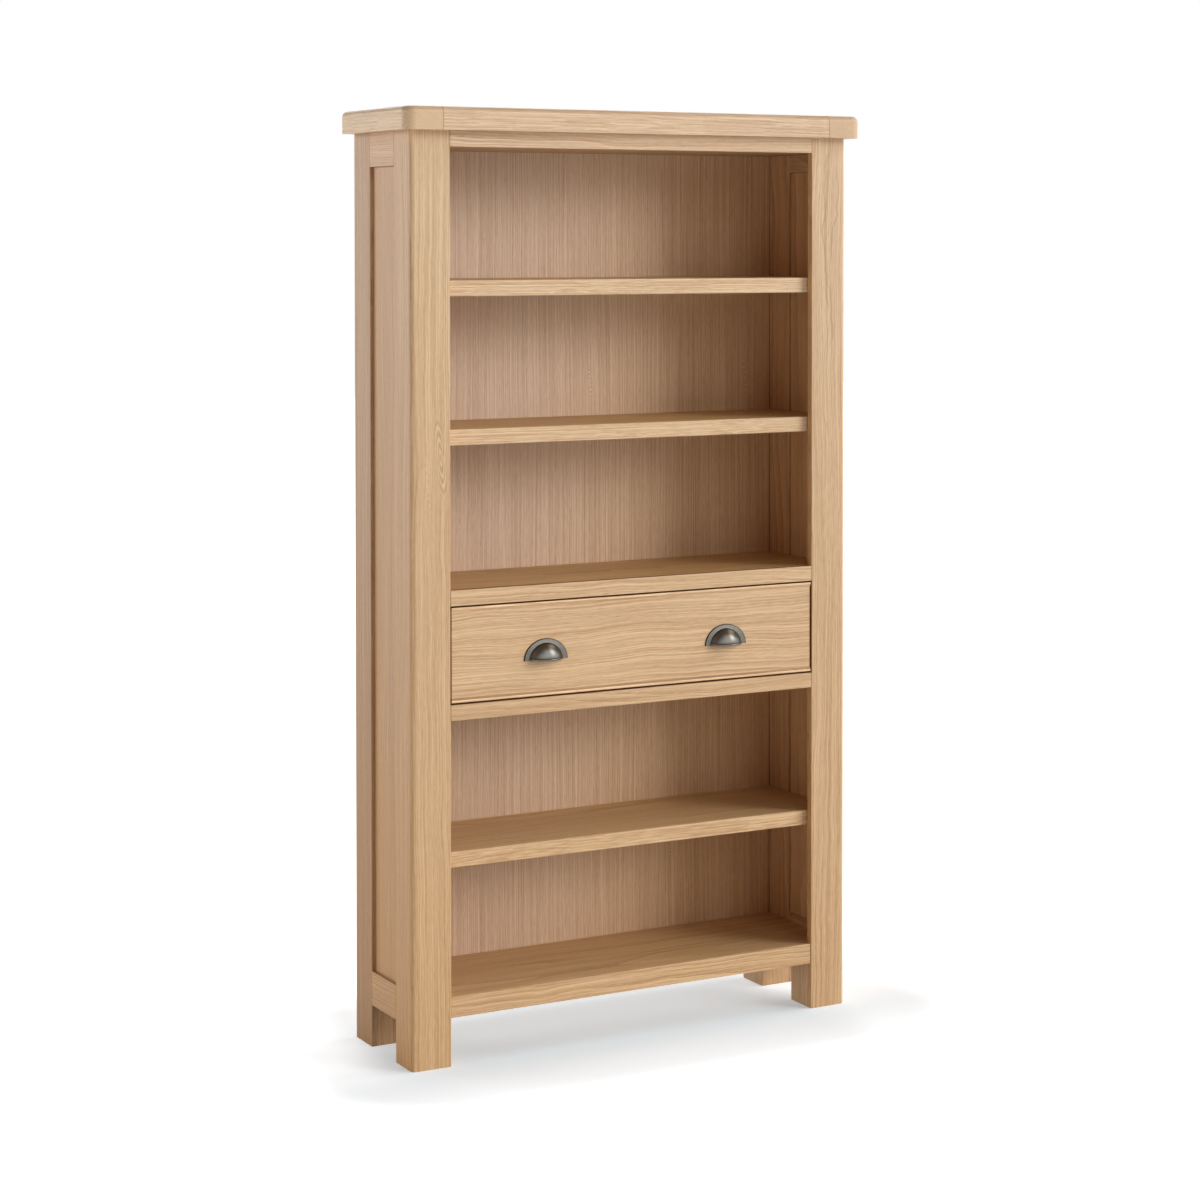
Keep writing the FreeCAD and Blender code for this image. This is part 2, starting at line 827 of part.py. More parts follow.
write("cup_pull_left", cup_pull(-1))
write("cup_pull_right", cup_pull(1))
write("cup_pull_screws", [pull_screw(spot) for spot in pull_screw_spots()])
print("overall size:", 2 * half_top, top_depth, overall_height)
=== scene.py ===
import bpy
import bmesh
import math
import numpy as np
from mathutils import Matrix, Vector


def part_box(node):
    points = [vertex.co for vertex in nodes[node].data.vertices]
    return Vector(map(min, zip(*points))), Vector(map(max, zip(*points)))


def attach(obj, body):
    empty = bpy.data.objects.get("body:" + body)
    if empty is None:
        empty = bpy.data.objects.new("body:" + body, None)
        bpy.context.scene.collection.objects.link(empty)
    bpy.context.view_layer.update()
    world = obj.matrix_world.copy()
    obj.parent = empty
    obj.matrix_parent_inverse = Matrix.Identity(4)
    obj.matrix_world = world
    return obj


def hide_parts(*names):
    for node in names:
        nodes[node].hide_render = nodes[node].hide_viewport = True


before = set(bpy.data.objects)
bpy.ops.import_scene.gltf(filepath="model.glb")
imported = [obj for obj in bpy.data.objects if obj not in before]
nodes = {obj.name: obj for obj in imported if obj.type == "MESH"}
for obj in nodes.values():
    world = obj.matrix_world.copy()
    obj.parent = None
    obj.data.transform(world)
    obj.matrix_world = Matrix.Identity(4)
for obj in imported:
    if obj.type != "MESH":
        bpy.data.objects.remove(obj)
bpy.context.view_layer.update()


# Shader nodes

class Wire:  # one socket of a material; arithmetic on it adds Math nodes
    def __init__(self, finish, socket):
        self.finish = finish
        self.socket = socket

    def __add__(self, other):
        return self.finish.maths("ADD", self, other)

    def __radd__(self, other):
        return self.finish.maths("ADD", other, self)

    def __sub__(self, other):
        return self.finish.maths("SUBTRACT", self, other)

    def __rsub__(self, other):
        return self.finish.maths("SUBTRACT", other, self)

    def __mul__(self, other):
        return self.finish.maths("MULTIPLY", self, other)

    def __rmul__(self, other):
        return self.finish.maths("MULTIPLY", other, self)

    def __truediv__(self, other):
        return self.finish.maths("DIVIDE", self, other)

    def __pow__(self, power):
        return self.finish.maths("POWER", self, power)


class Finish:  # a material, and the ways its nodes are made
    def __init__(self, name):
        self.material = bpy.data.materials.new(name)
        self.material.use_nodes = True
        self.tree = self.material.node_tree
        self.tree.nodes.clear()

    def node(self, kind, settings={}, inputs={}, output=0):  # settings are set before sockets
        made = self.tree.nodes.new(kind)
        for name, value in settings.items():
            setattr(made, name, value)
        for name, value in inputs.items():
            if isinstance(value, Wire):
                self.tree.links.new(value.socket, made.inputs[name])
            else:
                made.inputs[name].default_value = value
        return Wire(self, made.outputs[output])

    def maths(self, operation, first, second=0.0):
        return self.node("ShaderNodeMath", {"operation": operation}, {0: first, 1: second})

    def absolute(self, value):
        return self.maths("ABSOLUTE", value)

    def distance(self, first, second):  # from the origin, of two coordinates
        return self.maths("SQRT", first * first + second * second)

    def place(self):
        return self.node("ShaderNodeTexCoord", output="Object")

    def normal(self):
        return self.node("ShaderNodeNewGeometry", output="Normal")

    def split(self, vector):
        first = self.node("ShaderNodeSeparateXYZ", {}, {0: vector})
        return [Wire(self, out) for out in first.socket.node.outputs]

    def join(self, x, y, z):
        return self.node("ShaderNodeCombineXYZ", {}, {0: x, 1: y, 2: z})

    def noise(self, vector, detail=1.0, roughness=0.5):  # about 0.25 to 0.75, mean 0.5
        return self.node("ShaderNodeTexNoise", {"noise_dimensions": "3D"},
                         {"Vector": vector, "Scale": 1.0, "Detail": detail, "Roughness": roughness})

    def band(self, value, low, high, start=0.0, end=1.0):  # smooth step of a value between two others
        return self.node("ShaderNodeMapRange", {"interpolation_type": "SMOOTHSTEP"},
                         {"Value": value, "From Min": low, "From Max": high, "To Min": start, "To Max": end})

    def mix(self, share, first, second, blend="MIX"):  # colours
        return self.node("ShaderNodeMix", {"data_type": "RGBA", "blend_type": blend},
                         {0: share, 6: first, 7: second}, 2)

    def times(self, first, second):  # one colour by another
        return self.mix(1.0, first, second, "MULTIPLY")

    def vectors(self, operation, inputs):
        return self.node("ShaderNodeVectorMath", {"operation": operation}, inputs)

    def scaled(self, vector, factor):
        return self.vectors("SCALE", {"Vector": vector, "Scale": factor})

    def bump(self, height, strength=1.0):  # heights in metres
        return self.node("ShaderNodeBump", {}, {"Strength": strength, "Distance": 1.0, "Height": height})

    def surface(self, **sockets):
        self.end(self.node("ShaderNodeBsdfPrincipled", {}, sockets))
        return self.material

    def end(self, shader, kind="ShaderNodeOutputMaterial"):
        out = self.tree.nodes.new(kind)
        self.tree.links.new(shader.socket, out.inputs["Surface"])


def colour(r, g, b):
    return (r, g, b, 1.0)


# Oak

oakTints = {  # the mean colour of each kind of surface, with painted shade and light: the sides, panels, rear posts, ceiling and upper shelves are darker, the inner faces lighter
    "front": colour(0.632, 0.424, 0.250),
    "leftFront": colour(0.628, 0.418, 0.239),
    "rail": colour(0.665, 0.447, 0.262),
    "top": colour(0.676, 0.462, 0.283),
    "side": colour(0.585, 0.362, 0.194),
    "panel": colour(0.550, 0.335, 0.178),
    "rear": colour(0.480, 0.288, 0.155),
    "reveal": colour(0.630, 0.365, 0.172),
    "upperFlat": colour(0.488, 0.289, 0.123),
    "lowerRail": colour(0.612, 0.405, 0.233),
    "lowerFlat": colour(0.582, 0.385, 0.210),
    "ceiling": colour(0.480, 0.290, 0.160),
    "back": colour(0.575, 0.447, 0.322),
    "inner": colour(0.650, 0.420, 0.230),
    "innerPanel": colour(0.710, 0.455, 0.245),
}
oakGrain = {  # what each thing in the grain multiplies the tint by
    "pale": colour(1.20, 1.27, 1.34),       # the dense part of a ring
    "dark": colour(0.82, 0.73, 0.65),       # the porous line where a ring starts
    "pore": colour(0.52, 0.42, 0.34),
    "rose": colour(0.84, 0.82, 0.88),       # greyish pink streaks
    "vein": colour(0.64, 0.55, 0.54),
    "endGrain": colour(0.96, 0.94, 0.92),
    "low": colour(0.95, 0.89, 0.77),        # painted shade near the floor, by kind of face
    "lowSide": colour(0.93, 0.78, 0.49),
    "lowInner": colour(0.96, 0.97, 0.96),
    "lowBack": colour(0.94, 0.89, 0.82),
    "lowRear": colour(0.83, 0.66, 0.34),
    "high": colour(1.06, 1.085, 1.10),      # painted light near the top, by kind of face; painted shade on the side panels
    "highSide": colour(1.02, 1.03, 1.03),
    "highPanel": colour(0.97, 0.955, 0.915),
    "rim": colour(0.72, 0.68, 0.63),        # painted shade on the rounding along the top's upper edge
    "corner": colour(1.10, 1.09, 1.07),     # painted highlight on the rounding down each post
    "jointAndShade": colour(0.56, 0.48, 0.36),       # dark joints, and painted shade in inner corners and recesses
    "bead": colour(1.30, 1.30, 1.32),       # painted highlight on the crests of the drawer's beads
    # painted shade in the drawer's coves
    "cove": colour(0.58, 0.49, 0.40),
    "edge": colour(0.36, 0.24, 0.15),       # painted shade on the drawer's edges and on what faces them across the gap
    "left": colour(1.07, 0.99, 0.95),       # painted light on the back panel's left, painted shade, warmer, on its right
    "right": colour(1.15, 0.945, 0.70),
    "shelfLit": colour(1.05, 1.06, 1.11),   # and painted light, less warm, just above each shelf
}
oakNoise = {  # waves a metre along the grain and across it, detail, roughness
    "slow": (0.9, 2.6, 1.0, 0.5),           # bends the rings of a whole board
    "ripple": (5.0, 9.0, 2.0, 0.5),         # and short stretches of them
    "lines": (2.0, 450.0, 2.0, 0.7),
    "dashes": (40.0, 430.0, 1.0, 0.6),
    "pores": (70.0, 1100.0, 1.0, 0.5),
    "streak": (1.1, 30.0, 1.0, 0.5),
}
oakBands = {  # from what value of a noise to what value a thing grows, and from what strength to what
    "porous": (0.30, 0.68, 0.15, 1.0),
    "dense": (0.35, 0.65),
    "pores": (0.53, 0.70),
    "paleLines": (0.43, 0.31),
    "rose": (0.50, 0.76, 0.0, 0.22),
}
oakRings = {  # metres, unless a note says otherwise
    "slowAside": 0.05,                      # how far the slow noise moves the rings sideways
    "slowDeeper": 0.04,                     # and through the thickness
    "rippleAside": 0.018,
    "boardAside": 0.09,                     # how far glued boards differ in their place in the log
    "boardDeeper": 0.03,
    "boardAlong": 9.0,
    "seedAlong": 1.37,                      # a piece's seed does the same
    "seedBoards": 7.31,                     # and gives its boards other chances
    "rippleCount": 0.8,                     # rings
    "crowdCount": 2.4,                      # rings that crowd or spread
    "crowdWaves": (55.0, 3.0, 0.7),         # waves a metre of radius, a board and a seed
    "porousWaves": (0.83, 1.6),             # waves a ring and a metre along
    "porousFade": 2.2,                      # power of the way through a ring
    "denseWaves": (0.61, 0.9),
    "denseShift": 17.0,                     # waves
    "denseFade": 3.0,
}
oakForce = {  # how much each thing tells in the way from pale to dark
    "middle": 0.47,
    "porous": 0.36,
    "dense": 0.46,
    "paleLines": 0.26,
    "lines": 2.6,
    "dashes": 0.8,
    "paleRings": 0.5,
    "lostOnEnds": 0.65,
    "pores": 0.10,                          # in the mix with the pores' own colour
    "poresInLine": 0.40,                    # more, in the porous line
    "boards": 0.07,                         # in brightness
    "streak": 0.10,
}
oakFigures = {
    "slant": 0.10,                          # of a swirl's ovals
    "ovals": 26.0,                          # radians from the middle of a swirl to its rim
    "ovalRipple": 9.0,
    "ovalFade": (1.0, 0.55),
    "veinNoise": (2.0, 0.6),                # detail and roughness
    "veinShift": 900.0,                     # waves a metre across
    "veinFade": 0.03,
    "veinCore": 0.2,                        # share of its half width
    "broken": 2.0,                          # how far the fine lines break swirls and veins
}
oakFaces = {  # how far a face looks the way in the note, where a mark starts and where it is full
    "endGrain": (0.30, 0.90),               # along the grain, squared
    "inwards": (-0.30, -0.70),              # away from the middle of the case
    "sideways": (0.20, 0.60),               # the same
    "pastRounding": (0.80, 0.97),           # the same
    "notBack": (0.90, 0.70),                # to the back
    "forwards": (0.20, -0.20),              # to the back
    "edge": (0.55, 0.25),                   # to the front or the back
    "notUp": (0.97, 0.80),                  # up
    "corner": (0.12, 0.40),                 # sideways, times forwards
}
oakSurface = {
    "roughness": 0.48,
    "poreRoughness": 0.12,
    "dashRoughness": 0.12,
    "edgeRoughness": 0.5,
    "specular": 0.40,
    "bump": 0.15,
    "ringDepth": 0.00005,                   # metres
    "poreDepth": 0.00006,
    "dashHeight": 0.00005,
}
oakPlaces = {  # metres
    "high": 1.8,                            # where the painted light near the top is reached
    "highOutside": 1.5,
    "frontEdge": (0.001, 0.009),            # behind a shelf's front
    "rim": (-0.010, -0.005),                # above the top's height
    "jointIn": 0.0005,                      # how far the joint's dark line lies in the breadboard end
    "seamCore": 0.4,                        # share of a seam's half width that is fully dark
}


class Oak(Finish):  # the material of one piece, while its shade is built up
    # axes are the one along the grain, the one across the width and the one through the thickness
    def __init__(self, name, seed, axes):
        super().__init__("oak_" + name)
        self.seed = seed
        self.at = dict(zip("xyz", self.split(self.place())))
        self.facing = dict(zip("xyz", self.split(self.normal())))
        self.along, self.across, self.depth = (self.at[axis] for axis in axes)
        endwise = self.facing[axes[0]]
        self.ends = self.band(endwise * endwise, *oakFaces["endGrain"])

    def glueUp(self, stave, start):  # boards side by side, each moved in its log by chance
        step = (self.across - start) / stave
        index = self.maths("FLOOR", step)
        self.inBoard = (step - index - 0.5) * stave
        chance = self.node("ShaderNodeTexWhiteNoise", {"noise_dimensions": "1D"},
                           {"W": index + self.seed * oakRings["seedBoards"]}, "Color")
        self.chances = self.split(chance)
        self.away = self.along + self.chances[0] * oakRings["boardAlong"] + self.seed * oakRings["seedAlong"]

    def stretched(self, key, across, acrossShift=0.0, depthShift=0.0):  # a noise drawn out along the grain
        wavesAlong, waves, detail, roughness = oakNoise[key]
        return self.noise(self.join(self.away * wavesAlong, across * waves + acrossShift,
                                    self.depth * waves + depthShift), detail, roughness)

    def cut(self, heart, aside, lean, ring, loose, sway):
        # a ring's number is the distance from the heart of the log over the ring's width, plus noise
        r = oakRings
        board, boardAside, boardDeeper = self.chances
        slow = self.stretched("slow", self.across, acrossShift=self.seed) - 0.5
        self.ripple = self.stretched("ripple", self.inBoard, depthShift=self.seed) - 0.5
        self.bend = slow * (r["slowAside"] * sway) + self.ripple * (r["rippleAside"] * sway)
        side = self.inBoard + aside + (boardAside - 0.5) * (r["boardAside"] * loose) + self.bend
        deep = self.depth + heart + self.along * lean
        deep = deep + (boardDeeper - 0.5) * (r["boardDeeper"] * loose) + slow * (r["slowDeeper"] * sway)
        radius = self.distance(side, deep)
        wavesOut, wavesBoard, wavesSeed = r["crowdWaves"]
        crowd = self.noise(self.join(radius * wavesOut, board * wavesBoard, self.seed * wavesSeed), 0.0)
        count = radius / ring + self.ripple * (r["rippleCount"] * sway) + (crowd - 0.5) * r["crowdCount"]
        phase = self.maths("FRACT", count)
        waves, wavesAlong = r["porousWaves"]
        force = self.noise(self.join(count * waves, self.away * wavesAlong, self.seed), 0.0)
        self.porous = (1.0 - phase) ** r["porousFade"] * self.band(force, *oakBands["porous"])
        waves, wavesAlong = r["denseWaves"]
        spot = self.join(count * waves + r["denseShift"], self.away * wavesAlong, self.seed)
        self.pale = self.noise(spot, 1.0)
        self.dense = phase ** r["denseFade"] * self.band(self.pale, *oakBands["dense"])

    def swirl(self, middle, height, half, reach, force):  # a small figure of nested ovals, a little aslant
        up = self.along - height
        aslant = (self.across - middle + up * oakFigures["slant"]) / half
        oval = self.maths("SQRT", aslant * aslant + (up * up) / (reach * reach))
        wave = self.maths("COSINE", oval * oakFigures["ovals"] + self.ripple * oakFigures["ovalRipple"])
        return wave * self.band(oval, *oakFigures["ovalFade"]) * (self.lines * (oakFigures["broken"] * force))

    def vein(self, middle, spread, pace, width, begin, end, force):  # a dark line that wanders
        shift = middle * oakFigures["veinShift"]
        wander = self.noise(self.join(self.along * pace, shift, self.seed), *oakFigures["veinNoise"])
        off = self.absolute(self.across - middle - (wander - 0.5) * spread)
        fade = oakFigures["veinFade"]
        near = self.band(self.along, begin, begin + fade) * self.band(self.along, end, end - fade)
        near = near * self.band(off, width, width * oakFigures["veinCore"])
        near = near * (self.lines * (oakFigures["broken"] * force))
        self.shade = self.mix(near, self.shade, oakGrain["vein"])

    def over(self, share, key):  # multiplies the shade where the share is one
        self.shade = self.mix(share, self.shade, self.times(self.shade, oakGrain[key]))


def oakFinish(name, seed, axes, tint, heart, aside=0.0, lean=0.0, stave=0.30, ring=0.0060, start=0.0,
              loose=1.0, sway=1.0, contrast=1.0, figure=1.0, edgeTint=None, insideTint=None, seams=(),
              veins=(), swirls=(), low="low", top="high", marks=None):
    # stave is a glued board's width; heart, aside and lean place the piece in its log; loose is how far
    # boards differ; sway bends the rings; contrast is for the fine lines and figure for the rings
    f = Oak(name, seed, axes)
    f.glueUp(stave, start)
    f.cut(heart, aside, lean, ring, loose, sway)
    pores = f.band(f.stretched("pores", f.across), *oakBands["pores"])
    f.lines = f.stretched("lines", f.across + f.bend, depthShift=seed)
    dashes = f.stretched("dashes", f.across) - 0.5
    streak = f.stretched("streak", f.across, depthShift=seed)

    share = (f.porous * oakForce["porous"] - f.dense * oakForce["dense"]) * figure
    share = share - f.band(f.lines, *oakBands["paleLines"]) * (oakForce["paleLines"] * contrast)
    fine = (f.lines - 0.5) * oakForce["lines"] + dashes * oakForce["dashes"]
    share = share + (fine + (f.pale - 0.5) * oakForce["paleRings"]) * contrast
    for row in swirls:
        share = share + f.swirl(*row)
    share = share * (1.0 - f.ends * oakForce["lostOnEnds"]) + oakForce["middle"]
    f.shade = f.mix(share, oakGrain["pale"], oakGrain["dark"])
    inPores = pores * (f.porous * oakForce["poresInLine"] + oakForce["pores"])
    f.shade = f.mix(inPores, f.shade, oakGrain["pore"])
    f.shade = f.mix(f.band(streak, *oakBands["rose"]), f.shade, oakGrain["rose"])
    for row in veins:
        f.vein(*row)

    outwards = f.facing["x"] * f.maths("SIGN", f.at["x"])
    # painted shade towards the floor and painted light towards the top
    lowest, reached = oakGrain[low], oakPlaces["high"]
    if low in ("lowSide", "lowRear"):  # only the outside; the rounding is like the front
        reached = oakPlaces["highOutside"]
        lowest = f.mix(f.band(outwards, *oakFaces["pastRounding"]), oakGrain["low"], lowest)
        lowest = f.mix(f.band(outwards, *oakFaces["sideways"]), oakGrain["lowInner"], lowest)
    f.shade = f.times(f.shade, f.mix(f.band(f.at["z"], 0.0, reached), lowest, oakGrain[top]))
    f.over(f.ends, "endGrain")
    # dark joints, and painted shade along recesses and in inner corners
    for axis, middle, half, width in seams:
        off = f.absolute(f.absolute(f.at[axis] - middle) - half)
        near = f.band(off, width, width * oakPlaces["seamCore"])
        f.over(near * f.band(f.facing["y"], *oakFaces["notBack"]), "jointAndShade")
    s = oakSurface
    f.rough = s["roughness"] + pores * s["poreRoughness"] - dashes * s["dashRoughness"]
    if marks:
        marks(f)

    base = oakTints[tint]
    if edgeTint:  # the front edge has the colour of the fronts
        behind = f.at["y"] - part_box(name)[0][1]
        base = f.mix(f.band(behind, *oakPlaces["frontEdge"]), oakTints[edgeTint], base)
    # faces towards the inside take their own tint: painted light on the sides and panels, painted shade in
    # the front posts' reveals
    if insideTint:
        base = f.mix(f.band(outwards, *oakFaces["inwards"]), base, oakTints[insideTint])
    f.shade = f.times(f.shade, base)
    brightness = 1.0 + (f.chances[2] - 0.5) * (oakForce["boards"] * loose)
    brightness = brightness + (streak - 0.5) * oakForce["streak"]
    height = f.porous * -s["ringDepth"] - pores * s["poreDepth"] + dashes * s["dashHeight"]
    return f.surface(**{
        "Base Color": f.scaled(f.shade, brightness),
        "Roughness": f.rough,
        "Specular IOR Level": s["specular"],
        "Normal": f.bump(height, s["bump"]),
    })


# Marks on single pieces

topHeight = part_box("top_centre_board")[1][2]
drawerLow, drawerHigh = (corner[2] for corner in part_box("drawer_front"))
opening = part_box("front_stile_right")[0][0]  # half the width between the front stiles
moulding = {  # metres in from the drawer front's long edges, or past them where less than nothing
    "bead": (0.0047, 0.0040),
    "cove": (0.0040, 0.0050),
    "coveEnd": (0.0095, 0.0075),
    "upperCove": 0.22,                      # how much the painted shade in the cove under the upper bead shows
    "railLine": (-0.0038, -0.0033),         # painted shadow in the gap round the drawer
    "stileLine": (-0.0045, -0.0035),
    "stileEdge": (0.0018, 0.0008),          # past the stile's edge
}
backTones = {  # metres
    "warm": (-0.20, 0.42),                  # across, where the painted light turns to painted shade
    "litStart": (0.0, 0.005),               # above a shelf
    "litEnd": (0.19, 0.01),
    "flats": ("base_board", "lower_shelf", "drawer_cover_board", "middle_shelf", "upper_shelf"),
}


def fromDrawerEdge(f):  # how far in from the nearer long edge of the drawer's front
    return (drawerHigh - drawerLow) / 2 - f.absolute(f.at["z"] - (drawerLow + drawerHigh) / 2)


def paintedShadeRim(f):  # painted shade on the rounding of the top's upper edge
    high = f.band(f.at["z"] - topHeight, *oakPlaces["rim"])
    f.over(high * f.band(f.facing["z"], *oakFaces["notUp"]), "rim")


def paintedHighlightCorner(f):  # painted highlight on the rounding down a post
    f.over(f.band(f.absolute(f.facing["x"] * f.facing["y"]), *oakFaces["corner"]), "corner")


def stileMarks(f):  # painted highlight on the rounding, and painted shadow on the edge beside the drawer
    paintedHighlightCorner(f)
    start, end = moulding["stileEdge"]
    line = f.band(f.absolute(f.at["x"]), opening + start, opening + end)
    f.over(line * f.band(fromDrawerEdge(f), *moulding["stileLine"]), "edge")


def backMarks(f):  # painted shade, warmer, to the right, and painted light, less warm, above each shelf
    forwards = f.band(f.facing["y"], *oakFaces["forwards"])
    warmth = f.mix(f.band(f.at["x"], *backTones["warm"]), oakGrain["left"], oakGrain["right"])
    f.shade = f.mix(forwards, f.shade, f.times(f.shade, warmth))
    for board in backTones["flats"]:
        above = f.at["z"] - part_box(board)[1][2]
        lit = f.band(above, *backTones["litStart"]) * f.band(above, *backTones["litEnd"])
        f.over(lit * forwards, "shelfLit")


def paintedShadeEdges(f, more=0.0):  # painted shade on faces that look up, down or sideways, and what more adds
    edge = f.band(f.absolute(f.facing["y"]), *oakFaces["edge"]) + more
    f.over(edge, "edge")
    f.rough = f.rough + edge * oakSurface["edgeRoughness"]


def railMarks(f):  # painted shade on the side towards the drawer
    paintedShadeEdges(f, f.band(fromDrawerEdge(f), *moulding["railLine"]))


def drawerMarks(f):  # painted highlight on the bead and painted shade in the cove along each long edge
    inwards = fromDrawerEdge(f)
    f.over(f.band(inwards, *moulding["bead"]), "bead")
    cove = f.band(inwards, *moulding["cove"]) * f.band(inwards, *moulding["coveEnd"])
    upper = f.maths("GREATER_THAN", f.at["z"], (drawerLow + drawerHigh) / 2)
    f.over(cove * (1.0 - upper * (1.0 - moulding["upperCove"])), "cove")
    paintedShadeEdges(f)


# an axis, the middle between two seams, half the distance between them, and a seam's half width
backSeams = (("x", 0.0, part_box("front_side_stile_right")[0][0], 0.0035),)
railEnds = (("x", 0.0, opening, 0.0011),)
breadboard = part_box("top_breadboard_right")[0][0]
breadboardJoint = (("x", 0.0, breadboard + oakPlaces["jointIn"], 0.0012),)
panelFront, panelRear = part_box("front_side_stile_right")[1][1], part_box("rear_side_stile_right")[0][1]
panelLow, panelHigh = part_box("side_bottom_rail_right")[1][2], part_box("side_top_rail_right")[0][2]
panelEdges = (
    ("y", (panelFront + panelRear) / 2, (panelRear - panelFront) / 2, 0.0020),
    ("z", (panelLow + panelHigh) / 2, (panelHigh - panelLow) / 2, 0.0020))
postVeins = (  # middle, spread, waves a metre, half width, lowest and highest place, strength
    (0.4330, 0.090, 6.0, 0.0028, 1.40, 1.735, 0.60),
    (0.4520, 0.070, 8.0, 0.0024, 1.50, 1.700, 0.60),
    (0.4400, 0.060, 9.0, 0.0024, 1.33, 1.520, 0.55),
    (0.4300, 0.050, 6.0, 0.0022, 1.05, 1.400, 0.35))
backVeins = ((0.207, 0.070, 3.0, 0.0060, 1.50, 1.71, 0.35),)
leftSwirls = (  # middle, height, half width, half height, strength
    (-0.4180, 1.145, 0.014, 0.090, 0.50),
    (-0.4440, 1.090, 0.010, 0.060, 0.25))
backSwirls = (
    (0.036, 1.262, 0.011, 0.035, 0.45),
    (0.401, 1.262, 0.011, 0.045, 0.45),
    (0.223, 0.300, 0.009, 0.030, 0.45))
logs = {  # where each piece was cut from its log, in metres, and how it looks
    "front_stile_left": dict(
        axes="zxy", tint="leftFront", insideTint="reveal", ring=0.0058, heart=0.10, aside=0.16, start=-0.60,
        loose=0.6, contrast=0.85, figure=0.65, swirls=leftSwirls, marks=stileMarks),
    "front_stile_right": dict(
        axes="zxy", tint="front", insideTint="reveal", ring=0.0062, heart=0.090, aside=0.10, start=0.30,
        loose=0.0, lean=0.022, figure=0.55, veins=postVeins, marks=stileMarks),
    "front_side_stile_left": dict(
        axes="zyx", tint="side", insideTint="inner", heart=0.60, aside=0.25, low="lowSide", top="highSide",
        marks=paintedHighlightCorner),
    "front_side_stile_right": dict(
        axes="zyx", tint="front", insideTint="inner", heart=0.60, aside=0.25, marks=paintedHighlightCorner),
    "rear_side_stile": dict(
        axes="zyx", tint="rear", insideTint="inner", heart=0.60, aside=0.25, low="lowRear", top="highSide"),
    "front_foot_block": dict(axes="zxy", tint="front", heart=0.25, aside=0.20),
    "rear_foot_block": dict(axes="zxy", tint="front", heart=0.25, aside=0.20),
    "side_bottom_rail": dict(
        axes="yzx", tint="side", insideTint="inner", heart=0.56, aside=0.12, low="lowSide", top="highSide"),
    "side_top_rail": dict(
        axes="yzx", tint="side", insideTint="inner", heart=0.56, aside=0.12, top="highSide"),
    "side_panel": dict(
        axes="zyx", tint="panel", insideTint="innerPanel", ring=0.0052, heart=0.60, aside=0.30, contrast=0.8,
        seams=panelEdges, low="lowSide", top="highPanel"),
    "top_breadboard": dict(
        axes="yxz", tint="top", stave=0.10, heart=-1.60, aside=0.08, contrast=0.8, figure=0.6,
        seams=breadboardJoint, marks=paintedShadeRim),
    "top_centre_board": dict(
        axes="xyz", tint="top", stave=0.085, heart=-1.66, aside=0.05, lean=0.02, contrast=0.85,
        marks=paintedShadeRim),
    "base_front_rail": dict(
        axes="xzy", tint="rail", stave=0.20, ring=0.0056, heart=0.20, aside=0.06, lean=0.02, seams=railEnds),
    "drawer_lower_rail": dict(
        axes="xzy", tint="lowerRail", stave=0.20, heart=0.24, aside=0.12, lean=0.02, figure=0.7,
        seams=railEnds, marks=railMarks),
    "drawer_upper_rail": dict(
        axes="xzy", tint="rail", stave=0.20, ring=0.0056, heart=0.26, aside=0.13, lean=0.01, figure=0.6,
        seams=railEnds, marks=railMarks),
    "top_front_rail": dict(
        axes="xzy", tint="top", stave=0.20, heart=0.19, aside=0.07, lean=0.02, seams=railEnds),
    "base_board": dict(axes="xyz", tint="lowerFlat", stave=0.088, ring=0.0056, heart=0.05, aside=0.04),
    "drawer_floor_board": dict(
        axes="xyz", tint="lowerFlat", stave=0.088, ring=0.0056, heart=-0.50, aside=0.04),
    "drawer_cover_board": dict(
        axes="xyz", tint="upperFlat", stave=0.088, ring=0.0056, heart=-0.72, aside=0.04),
    "ceiling_board": dict(axes="xyz", tint="ceiling", stave=0.088, ring=0.0056, heart=-1.60, aside=0.04),
    "lower_shelf": dict(axes="xyz", tint="lowerFlat", edgeTint="rail", stave=0.085, heart=-0.25, aside=0.06),
    "middle_shelf": dict(axes="xyz", tint="upperFlat", edgeTint="rail", stave=0.085, heart=-1.00, aside=0.06),
    "upper_shelf": dict(axes="xyz", tint="upperFlat", edgeTint="rail", stave=0.085, heart=-1.30, aside=0.06),
    "back_panel": dict(
        axes="zxy", tint="back", stave=0.32, ring=0.0048, heart=0.05, aside=0.24, start=-0.48, figure=0.35,
        sway=0.35, contrast=0.95, low="lowBack", seams=backSeams, veins=backVeins, swirls=backSwirls,
        marks=backMarks),
    "drawer_front": dict(
        axes="xzy", tint="rail", stave=0.50, start=0.525, ring=0.0070, heart=0.160, aside=-0.16, lean=0.03,
        loose=0.0, sway=1.2, contrast=1.08, figure=0.42, marks=drawerMarks),
    "drawer_side": dict(axes="yzx", tint="inner", heart=0.50, aside=0.1, contrast=0.8),
    "drawer_back": dict(axes="xzy", tint="inner", heart=0.10, contrast=0.8),
    "drawer_bottom": dict(
        axes="xyz", tint="inner", stave=0.25, ring=0.0050, heart=-0.60, aside=0.1, contrast=0.6),
    "drawer_guide": dict(axes="yxz", tint="lowerFlat", stave=0.20, heart=-0.60, contrast=0.8),
    "drawer_kicker": dict(axes="yxz", tint="lowerFlat", stave=0.20, heart=-0.80, contrast=0.8),
    "drawer_stops": dict(axes="xyz", tint="lowerFlat", stave=0.20, heart=-0.60, contrast=0.8),
    "shelf_dowels": dict(axes="xyz", tint="inner", stave=0.20, ring=0.0040, heart=-0.60, contrast=0.6),
    "board_dowels": dict(axes="xyz", tint="inner", stave=0.20, ring=0.0040, heart=-0.60, contrast=0.6),
}
seeds = {"first": 1.0, "perPiece": 3.1, "perSide": 1.3}

